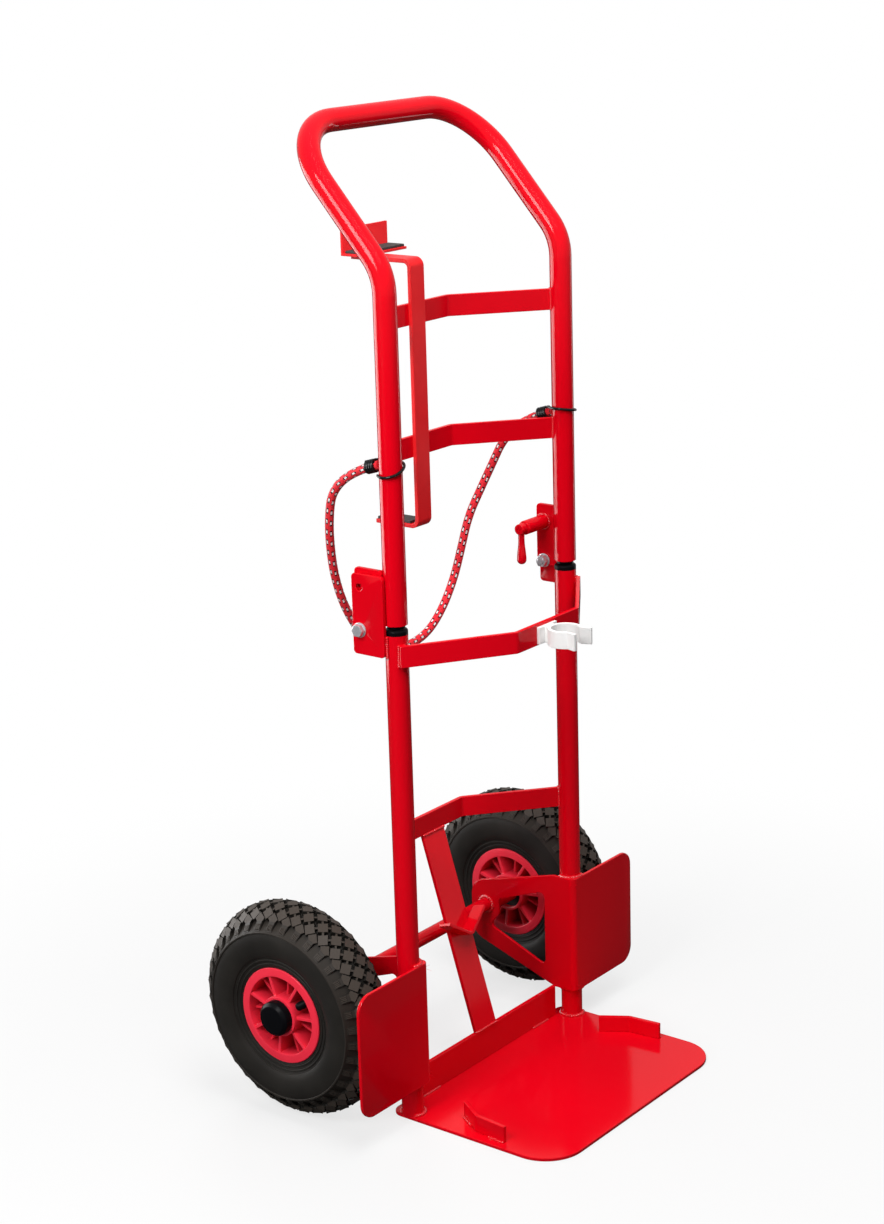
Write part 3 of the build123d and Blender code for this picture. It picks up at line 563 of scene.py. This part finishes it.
def finish_copy(bm, node):
    name, body, slot = f"{node}_rounded", body_of_node[node], slot_of_node[node]
    piece = finish_piece(bm, name, body, slot, finish=finish_of_node.get(node))
    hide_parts(node)


# %% [markdown]
# The radius goes by the piece: thick plate is ground rounder than thin bar, and the small turned and
# moulded pieces have the smallest. Left and right pieces share one entry.

# %% Round the sheet, bar and plastic pieces
edge_radius = {
    "toe_plate": 0.0008, "rear_strip": 0.0007, "load_stop": 0.0008, "wheel_bracket": 0.0008,
    "lower_cradle_bar": 0.0007, "front_cradle_bar": 0.0007, "upper_cradle_bar_low": 0.0007,
    "upper_cradle_bar_high": 0.0007, "brace": 0.0007, "notched_rest": 0.0006, "holder_bar": 0.0007,
    "holder_shelf": 0.0006, "hinge_plate_outer": 0.0008, "hinge_plate_inner": 0.0008,
    "lock_sleeve": 0.0005, "hub_cap": 0.0006, "pipe_clip": 0.0007,
    "pivot_bolt": 0.0004, "pivot_nut": 0.0004, "holder_pad_top": 0.0006, "holder_pad_bottom": 0.0006,
}
rounded = 0
for node in slot_of_node:
    kind = node.removesuffix("_left").removesuffix("_right")
    if kind in edge_radius:
        copy = clean_copy(node)
        rounded += bevel_hard(copy, edge_radius[kind])
        finish_copy(copy, node)
print("rounded edges:", rounded)

# %% [markdown]
# ## Rims
# A moulded rim is rounder than sheet: the flange's edges have radii of 1.6 mm and the thin ribs about
# half a millimetre. The edges are picked by their distance from the axle and bevelled in two goes.
# Each corner of the mesh then gets its depth below the flange's face, for the painted shade in the
# plastic's bays.

# %% Rims
rim_half_width, web_depth = 0.031, 0.025
flange_from, flange_radius = 0.0565, 0.0016
ribs_up_to, rib_radius = 0.0490, 0.0006
wheel_centre = {"left": Vector((-0.222, 0.1185, 0.13)), "right": Vector((0.222, 0.1185, 0.13))}
for side_name, centre in wheel_centre.items():
    copy = clean_copy(f"rim_{side_name}")
    flange_edges = bevel_hard(
        copy, flange_radius, steps=3, wanted=lambda middle: (middle - centre).yz.length > flange_from
    )
    rib_edges = bevel_hard(
        copy, rib_radius, wanted=lambda middle: (middle - centre).yz.length < ribs_up_to
    )
    depth_layer = copy.verts.layers.float.new("depth")
    for vertex in copy.verts:
        vertex[depth_layer] = min(1.0, (rim_half_width - abs(vertex.co.x - centre.x)) / web_depth)
    finish_copy(copy, f"rim_{side_name}")
    print("rim edges:", flange_edges, "on the flange,", rib_edges, "inside")

# %% [markdown]
# ## Tyre carcass
# A tyre is a shape of revolution with a tread on it. Half of its section is a line of a few points,
# in millimetres: from the bead beside the rim, over the rings that mould marks leave, across the flat
# sidewall and the raised line above it, to the middle of the tread. Mirroring the line and spinning
# it round the axle makes the carcass. The rubber is black under the tread, dry on the shoulder and
# nearly clean on the sidewall.

# %% Tyre section
half_section = [
    (28.2, 51.5), (28.4, 57.5), (29.4, 59.4), (29.6, 61.2), (30.6, 61.8), (30.7, 63.0), (29.9, 63.6),
    (30.4, 66.0), (31.5, 66.6), (31.6, 67.8), (30.9, 68.4), (31.6, 71.0), (32.8, 71.6), (33.9, 74.0),
    (35.1, 79.0), (35.8, 86.0), (36.0, 92.0), (35.6, 97.0), (34.9, 100.2), (35.9, 100.8), (35.9, 102.2),
    (34.7, 102.9), (30.0, 105.8), (24.4, 109.0),
    (18.6, 114.0), (14.0, 119.4), (8.0, 123.5), (0.0, 124.9),
]
carcass_steps = 144
tread_from, shoulder_from = 0.112, 0.1005
slot_wear, shoulder_wear, sidewall_wear = 0.0, 0.30, 0.05


def carcass_wear(height):
    if height > tread_from:
        return slot_wear
    return shoulder_wear if height > shoulder_from else sidewall_wear


def spin_carcass(bm, worn_layer):
    line = [bm.verts.new(Vector((x, 0, r)) / 1000) for x, r in half_section]
    edges = [bm.edges.new(pair) for pair in zip(line, line[1:])]
    bmesh.ops.mirror(bm, geom=line + edges, matrix=Matrix(), axis="X", merge_dist=1e-5)
    bmesh.ops.remove_doubles(bm, verts=bm.verts, dist=1e-5)
    bmesh.ops.spin(
        bm, geom=[*bm.verts, *bm.edges], cent=(0, 0, 0), axis=(1, 0, 0),
        angle=2 * pi, steps=carcass_steps, use_merge=True,
    )
    bmesh.ops.remove_doubles(bm, verts=bm.verts, dist=1e-6)
    bmesh.ops.recalc_face_normals(bm, faces=bm.faces)
    for face in bm.faces:
        for corner in face.loops:
            corner[worn_layer] = carcass_wear(corner.vert.co.yz.length)


print("section points:", len(half_section))

# %% [markdown]
# ## Tread blocks
# The tread is a net of square blocks, turned so that their corners point along the tyre, with narrow
# slots between them and a small bridge across each slot. The crown is part of a 28 mm circle, so a
# place on it is given by the arc from the middle and the turn round the axle. One block is made for
# each row, and spin copies it 36 times round the wheel.

# %% Helpers for blocks
blocks_round = 36
crown_radius, crown_centre = 0.028, 0.102
quarter = Matrix.Rotation(pi / 4, 4, "Z")


def on_crown(arc, turn, sink):
    lean = arc / crown_radius
    return (
        Matrix.Rotation(turn, 4, "X")
        @ Matrix.Translation((crown_radius * sin(lean), 0, crown_centre + crown_radius * cos(lean)))
        @ Matrix.Rotation(lean, 4, "Y")
        @ Matrix.Translation((0, 0, -sink))
    )


def add_block(bm, place, size, worn_layer, draft=0.92, tone=1.0):
    made = bmesh.ops.create_cube(bm, size=1, matrix=place @ Matrix.Diagonal((*size, 1)))["verts"]
    top = [vertex for vertex in made if (place.inverted() @ vertex.co).z > 0]
    bmesh.ops.scale(bm, vec=(draft, draft, 1), space=place.inverted(), verts=top)
    for face in {face for vertex in made for face in vertex.link_faces}:
        for corner in face.loops:
            corner[worn_layer] = tone if set(face.verts) == set(top) else 0.0
    return made


def copy_round(bm, verts):
    faces = {face for vertex in verts for face in vertex.link_faces}
    edges = {edge for vertex in verts for edge in vertex.link_edges}
    bmesh.ops.spin(
        bm, geom=[*verts, *edges, *faces], cent=(0, 0, 0), axis=(1, 0, 0),
        angle=2 * pi * (blocks_round - 1) / blocks_round, steps=blocks_round - 1, use_duplicate=True,
    )


# %% [markdown]
# Every second row is shifted by half a block. The bridges stand between a row and the next, so the
# last row makes none, and they are sunk a little deeper than the blocks.

# %% Tread
tread_rows, row_arc = range(-2, 3), 0.0112
block_size, block_sink = (0.0123, 0.0123, 0.006), 0.0038
bridge_size, bridge_sink = (0.0024, 0.006, 0.006), 0.0041


def add_tread(bm, worn_layer):
    pitch = 2 * pi / blocks_round
    for row in tread_rows:
        turn = pitch / 2 * (row % 2)
        made = add_block(bm, on_crown(row * row_arc, turn, block_sink) @ quarter, block_size, worn_layer)
        for lean_way in (-1, 1) if row < tread_rows[-1] else ():
            between = on_crown((row + 0.5) * row_arc, turn + lean_way * pitch / 4, bridge_sink)
            bridge = between @ Matrix.Rotation(lean_way * pi / 4, 4, "Z")
            made += add_block(bm, bridge, bridge_size, worn_layer, draft=1.0, tone=0.8)
        copy_round(bm, made)


print("blocks on each tyre:", len(tread_rows) * blocks_round)

# %% [markdown]
# ## Shoulder lugs
# Below the last row of blocks, a lug stands on the shoulder for every second slot: a pointed top that
# continues the net, and a flat side that runs down to the raised line, with four fine ridges along
# it. The pointed top is a smaller block of the same kind. The groove between two lugs is deep at the
# tread and runs out at the line, because the carcass rises to meet it there.

# %% Shoulder lugs
point_arc, point_sink, point_size = 0.0292, 0.0034, (0.0112, 0.0112, 0.006)
slope_out, slope_up, slope_lean, slope_sink = 0.0300, 0.1086, radians(49), 0.0029
slope_size = (0.0132, 0.0090, 0.0056)
ridge_count, ridge_pitch, ridge_size = 4, 0.0019, (0.0084, 0.0011, 0.0014)
ridge_out, ridge_up = 0.0010, 0.0028


def add_lugs(bm, worn_layer, side):
    turn = pi / blocks_round
    made = add_block(bm, on_crown(side * point_arc, turn, point_sink) @ quarter, point_size, worn_layer)
    slope = (
        Matrix.Rotation(turn, 4, "X")
        @ Matrix.Translation((side * slope_out, 0, slope_up))
        @ Matrix.Rotation(side * slope_lean, 4, "Y")
        @ Matrix.Translation((0, 0, -slope_sink))
    )
    made += add_block(bm, slope, slope_size, worn_layer, draft=0.94, tone=0.36)
    for ridge in range(ridge_count):
        sideways = (ridge - (ridge_count - 1) / 2) * ridge_pitch
        shift = Matrix.Translation((side * ridge_out, sideways, ridge_up))
        made += add_block(bm, slope @ shift, ridge_size, worn_layer, draft=0.8)
    copy_round(bm, made)


# %% [markdown]
# ## Tyres
# Each tyre is built round the origin, where the spin axis is simple, and then moved to its wheel's
# centre. The tones of the blocks ride on the mesh in one attribute.

# %% Tyres
for side_name, centre in wheel_centre.items():
    tyre_mesh = bmesh.new()
    worn_layer = tyre_mesh.loops.layers.float.new("worn")
    spin_carcass(tyre_mesh, worn_layer)
    add_tread(tyre_mesh, worn_layer)
    for shoulder in (-1, 1):
        add_lugs(tyre_mesh, worn_layer, shoulder)
    bmesh.ops.translate(tyre_mesh, verts=tyre_mesh.verts, vec=centre)
    face_count = len(tyre_mesh.faces)
    name, body = f"tyre_{side_name}_treaded", f"wheel_{side_name}"
    tyre = finish_piece(tyre_mesh, name, body, "tyre", smooth_below=32)
    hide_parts(f"tyre_{side_name}")
    print("tyre faces:", face_count)

# %% [markdown]
# ## Bungee hooks
# Each hook is one black coated wire: a ring round the upright, open at its outer end and lower on
# that side, and four turns wound tight round the end of the cord. Its line is worked out in steps,
# first round the ring and then round the coil. A curve with a round bevel turns the line into wire.

# %% Helper for the hook's line
upright_x, ring_radius, ring_angles = 0.162, 0.015, range(-36, 205, 12)
coil_radius, coil_pitch, coil_turns, coil_steps = 0.0064, 0.0034, 4, 18
coil_setback, coil_dip = 0.020, radians(16.4)
ring_to_coil = Vector((-0.004, 0, 0.001))


def hook_line(side, ring_height, ring_drop, coil_height):
    along = Vector((0, cos(coil_dip), -sin(coil_dip)))
    above = Vector((0, sin(coil_dip), cos(coil_dip)))
    first_turn = Vector((upright_x, coil_setback, coil_height - coil_radius * cos(coil_dip)))
    points = []
    for angle in ring_angles:
        outward = ring_radius * cos(radians(angle))
        forward = ring_radius * sin(radians(angle))
        points.append(Vector((upright_x + outward, -forward, ring_height - ring_drop * outward)))
    points.append((points[-1] + first_turn + above * coil_radius) / 2 + ring_to_coil)
    for step in range(coil_turns * coil_steps + 1):
        angle = 2 * pi * step / coil_steps
        radial = Vector((sin(angle), 0, 0)) + above * cos(angle)
        points.append(first_turn + radial * coil_radius + along * (coil_pitch * step / coil_steps))
    return [Vector((side * point.x, point.y, point.z)) for point in points]


# %% [markdown]
# The two hooks aren't alike: the left ring hangs lower and tilts more, as the cord pulls at it.

# %% Hooks
wire_radius = 0.0016
for side_name, side, ring_height, ring_drop, coil_height in (
    ("left", -1, 0.7698, 0.42, 0.7785), ("right", 1, 0.7795, 0.18, 0.7800)
):
    bends = hook_line(side, ring_height, ring_drop, coil_height)
    wire = nurbs_line("hook_wire", bends, resolution=3)
    hook_mesh = bmesh.new()
    hook_mesh.from_mesh(line_mesh(wire, wire_radius, bevel_steps=3))
    bpy.data.objects.remove(wire)
    bmesh.ops.remove_doubles(hook_mesh, verts=hook_mesh.verts, dist=1e-6)
    bmesh.ops.recalc_face_normals(hook_mesh, faces=hook_mesh.faces)
    print("hook faces:", len(hook_mesh.faces))
    name = f"bungee_hook_{side_name}_wire"
    hook = finish_piece(hook_mesh, name, "upper_frame", "hook_black", smooth_below=50)
    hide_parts(f"bungee_hook_{side_name}")

# %% [markdown]
# ## Weld beads
# Tubes, bars and plates are welded together, and each weld leaves a low rippled bead along the joint.
# One ripple is a small ball, half sunk in the corner, and a row of overlapping ones reads as a bead.
# A bead runs straight between two points or round a centre, all in millimetres.


# %% Helpers for weld beads
ripple_step = 0.6


def add_ripples(bm, points, size):
    for point in points:
        place = Matrix.Translation(Vector(point) / 1000)
        bmesh.ops.create_uvsphere(bm, u_segments=8, v_segments=5, radius=size / 2000, matrix=place)


def straight_bead(bm, start, end, size):
    run = Vector(end) - Vector(start)
    count = max(2, round(run.length / (size * ripple_step)))
    add_ripples(bm, [Vector(start) + run * step / (count - 1) for step in range(count)], size)


def upright_bead(bm, x, y, low, high, size):
    straight_bead(bm, (x, y, low), (x, y, high), size)


def round_bead(bm, centre, axis, radius, size, first=0, last=360):
    count = max(3, round(radians(last - first) * radius / (size * ripple_step)))
    points = []
    for step in range(count):
        angle = radians(first + (last - first) * step / count)
        flat = Vector((0, cos(angle), sin(angle))) if axis == "X" else Vector((cos(angle), sin(angle), 0))
        points.append(Vector(centre) + flat * radius)
    add_ripples(bm, points, size)


# %% [markdown]
# On the lower frame, beads run round the foot of the upright, the edges of the wheel bracket and the
# axle, up the ends of the bars and the hinge plate, and along the brace, the strip and the load stop.
# Only the right side is written down, because the left one is its mirror image.

# %% Weld beads of the lower frame
bar_end_lines = ((150.4, 6.6), (154.2, 10.6))
lower_welds = bmesh.new()
round_bead(lower_welds, (162, 0, 5.0), "Z", 13.6, 5.2, first=40, last=320)
for edge_height in (42.0, 192.0):
    round_bead(lower_welds, (162, 0, edge_height), "Z", 14.4, 5.4, first=160, last=300)
round_bead(lower_welds, (144.6, 118.5, 130), "X", 9.8, 5.0)
for x, y in bar_end_lines:
    upright_bead(lower_welds, x, y, 284, 307, 3.6)
for x, y in ((171.4, -10.2), (165.2, -13.4)):
    upright_bead(lower_welds, x, y, 551, 574, 3.4)
upright_bead(lower_welds, 176.2, 2.2, 561, 583, 3.8)
for start, end, size in (
    ((2, 12.9, 44.2), (19, 12.9, 44.2), 4.0),
    ((2, 85.4, 282.6), (19, 85.4, 282.6), 4.0),
    ((96, 12.8, 4.6), (126, 12.8, 4.6), 3.6),
    ((140.6, -58.6, 4.6), (151.4, -75.8, 4.6), 3.6),
    ((162.4, -110, 4.6), (163.8, -130, 4.6), 3.6),
):
    straight_bead(lower_welds, start, end, size)
print("faces on the right side:", len(lower_welds.faces))

# %% [markdown]
# The upper frame has beads at the ends of its two bars, along the inner hinge plate and round the
# lock's sleeve. Both sets of beads are then mirrored and finished.

# %% Weld beads of the upper frame
upper_welds = bmesh.new()
for bar_height in (758, 910):
    for x, y in bar_end_lines:
        upright_bead(upper_welds, x, y, bar_height - 11.5, bar_height + 11.5, 3.6)
upright_bead(upper_welds, 169.2, 11.2, 598, 656, 3.6)
round_bead(upper_welds, (169.4, 36, 637), "X", 8.9, 3.6)

for welds, name, body in (
    (lower_welds, "lower_welds", "lower_frame"), (upper_welds, "upper_welds", "upper_frame")
):
    kept = welds.verts[:] + welds.edges[:] + welds.faces[:]
    bmesh.ops.mirror(welds, geom=kept, matrix=Matrix(), axis="X", merge_dist=0)
    bmesh.ops.recalc_face_normals(welds, faces=welds.faces)
    print(name, "faces:", len(welds.faces))
    finish_piece(welds, name, body, "frame_red", smooth_below=80, finish=weld_enamel)

# %% [markdown]
# ## Floor
# A pale floor carries the cart's shadow. It is one large flat face, and it belongs to the stage and
# not to the cart.

# %% Floor
floor_size = 9.0
floor_mesh = bmesh.new()
bmesh.ops.create_grid(floor_mesh, x_segments=1, y_segments=1, size=floor_size)
floor_data = bpy.data.meshes.new("floor")
floor_mesh.to_mesh(floor_data)
floor_mesh.free()
floor = add_object("floor", floor_data)
print("floor:", tuple(round(size, 1) for size in floor.dimensions))

# %% [markdown]
# ### Floor paper
# The floor is white to the camera and dark to the cart, up to some metres away, because what faces
# down or forward on the real cart is in shade and mirrors a dark room. So the paper asks which kind
# of ray it meets, and how far the point is from the cart. Near the cart the camera sees a part of the
# lit paper, with the shadow on it, and further away an even glow takes over. A fade gives two
# distances and the glow at each.

# %% Floor paper
dark_paper, pale_paper = (0.08, 0.08, 0.08), (0.66, 0.66, 0.66)
camera_fade = (0.25, 1.1, 0.72, 1.0)
mirror_fade = (3.2, 8.0, 0.0, 0.5)

floor_paper = bpy.data.materials.new("floor_paper")
floor_paper.use_nodes = True
paper_tree = floor_paper.node_tree
paper = shader_of(floor_paper)
paper.inputs["Roughness"].default_value = 0.9
paper.inputs["Specular IOR Level"].default_value = 0.0
paper_rays = paper_tree.nodes.new("ShaderNodeLightPath").outputs
seen, mirrored = paper_rays["Is Camera Ray"], paper_rays["Is Glossy Ray"]
paper_tree.links.new(mix_colours(paper_tree, seen, dark_paper, pale_paper), paper.inputs["Base Color"])

distance = paper_tree.nodes.new("ShaderNodeVectorMath")
distance.operation = "LENGTH"
paper_tree.links.new(paper_tree.nodes.new("ShaderNodeTexCoord").outputs["Object"], distance.inputs[0])
glow_parts = []
for ray, fade in ((seen, camera_fade), (mirrored, mirror_fade)):
    faded = map_range(paper_tree, distance.outputs["Value"], fade, smooth=True)
    glow_parts.append(add_math(paper_tree, "MULTIPLY", ray, faded))
glow = paper_tree.nodes.new("ShaderNodeEmission")
blend = paper_tree.nodes.new("ShaderNodeMixShader")
paper_tree.links.new(add_math(paper_tree, "MAXIMUM", *glow_parts), blend.inputs[0])
paper_tree.links.new(paper.outputs[0], blend.inputs[1])
paper_tree.links.new(glow.outputs[0], blend.inputs[2])
paper_tree.links.new(blend.outputs[0], paper_tree.nodes["Material Output"].inputs["Surface"])
floor_data.materials.append(floor_paper)
print("floor paper:", floor_paper.name)

# %% [markdown]
# ## The white room
# The photograph has a plain white background. The world's colour gives it: full strength for the
# camera, a little over half for mirrored rays, so that the glossy red keeps its colour, and a sixth
# for the light that falls on everything from all round.

# %% World
mirrored_room, light_of_room = 0.5, 0.16
scene.view_settings.view_transform = "Standard"
world = bpy.data.worlds.new("white_room")
scene.world = world
world.use_nodes = True
sky = world.node_tree
room = sky.nodes["Background"]
room.inputs["Color"].default_value = (1, 1, 1, 1)
room_rays = sky.nodes.new("ShaderNodeLightPath").outputs
shown = add_math(sky, "MAXIMUM", room_rays["Is Camera Ray"], room_rays["Is Transmission Ray"])
half_shown = add_math(sky, "MULTIPLY", room_rays["Is Glossy Ray"], mirrored_room)
strength = map_range(sky, add_math(sky, "MAXIMUM", shown, half_shown), (0, 1, light_of_room, 1))
sky.links.new(strength, room.inputs["Strength"])
print("world:", world.name)

# %% [markdown]
# ## Lamps
# A softbox high on the left is the main light, so that what faces left and up is bright and what
# faces forward is in half shade. Four weaker ones fill in from the front, from above, from behind and
# low on the left. They only light the cart and aren't mirrored in it. The long highlights down the
# edges of the tubes come from two panels, at the left and at the right, which are only mirrored.


# %% Lamps
def add_lamp(name, place, target, width, height, power, mirrored=True, lights=True):
    lamp_data = bpy.data.lights.new(name, "AREA")
    lamp_data.shape = "RECTANGLE"
    lamp_data.size = width
    lamp_data.size_y = height
    lamp_data.energy = power
    lamp = add_object(name, lamp_data)
    lamp.location = place
    lamp.rotation_euler = (Vector(target) - Vector(place)).to_track_quat("-Z", "Y").to_euler()
    lamp.visible_camera = False
    lamp.visible_glossy = mirrored
    lamp.visible_diffuse = lights
    return lamp


lamps = [
    add_lamp("main_softbox", (-1.9, -0.1, 1.9), (0, 0, 0.6), 0.8, 0.9, 35),
    add_lamp("front_softbox", (-0.5, -0.9, 2.3), (0, 0, 0.5), 1.0, 1.0, 23, mirrored=False),
    add_lamp("top_softbox", (0.1, -0.3, 2.7), (0.05, -0.1, 0), 1.0, 1.0, 23, mirrored=False),
    add_lamp("back_fill", (1.5, 1.6, 1.7), (0, 0, 0.5), 1.2, 1.2, 24, mirrored=False),
    add_lamp("low_fill", (-1.8, 0.2, 0.5), (0, 0.1, 0.15), 0.8, 0.6, 7, mirrored=False),
    add_lamp("left_panel", (-0.55, 1.66, 0.55), (0, 0, 0.55), 1.3, 1.1, 30, lights=False),
    add_lamp("right_panel", (1.55, -0.41, 0.35), (0, 0, 0.55), 0.25, 1.1, 2.5, lights=False),
]
print("lamps:", [lamp.name for lamp in lamps])
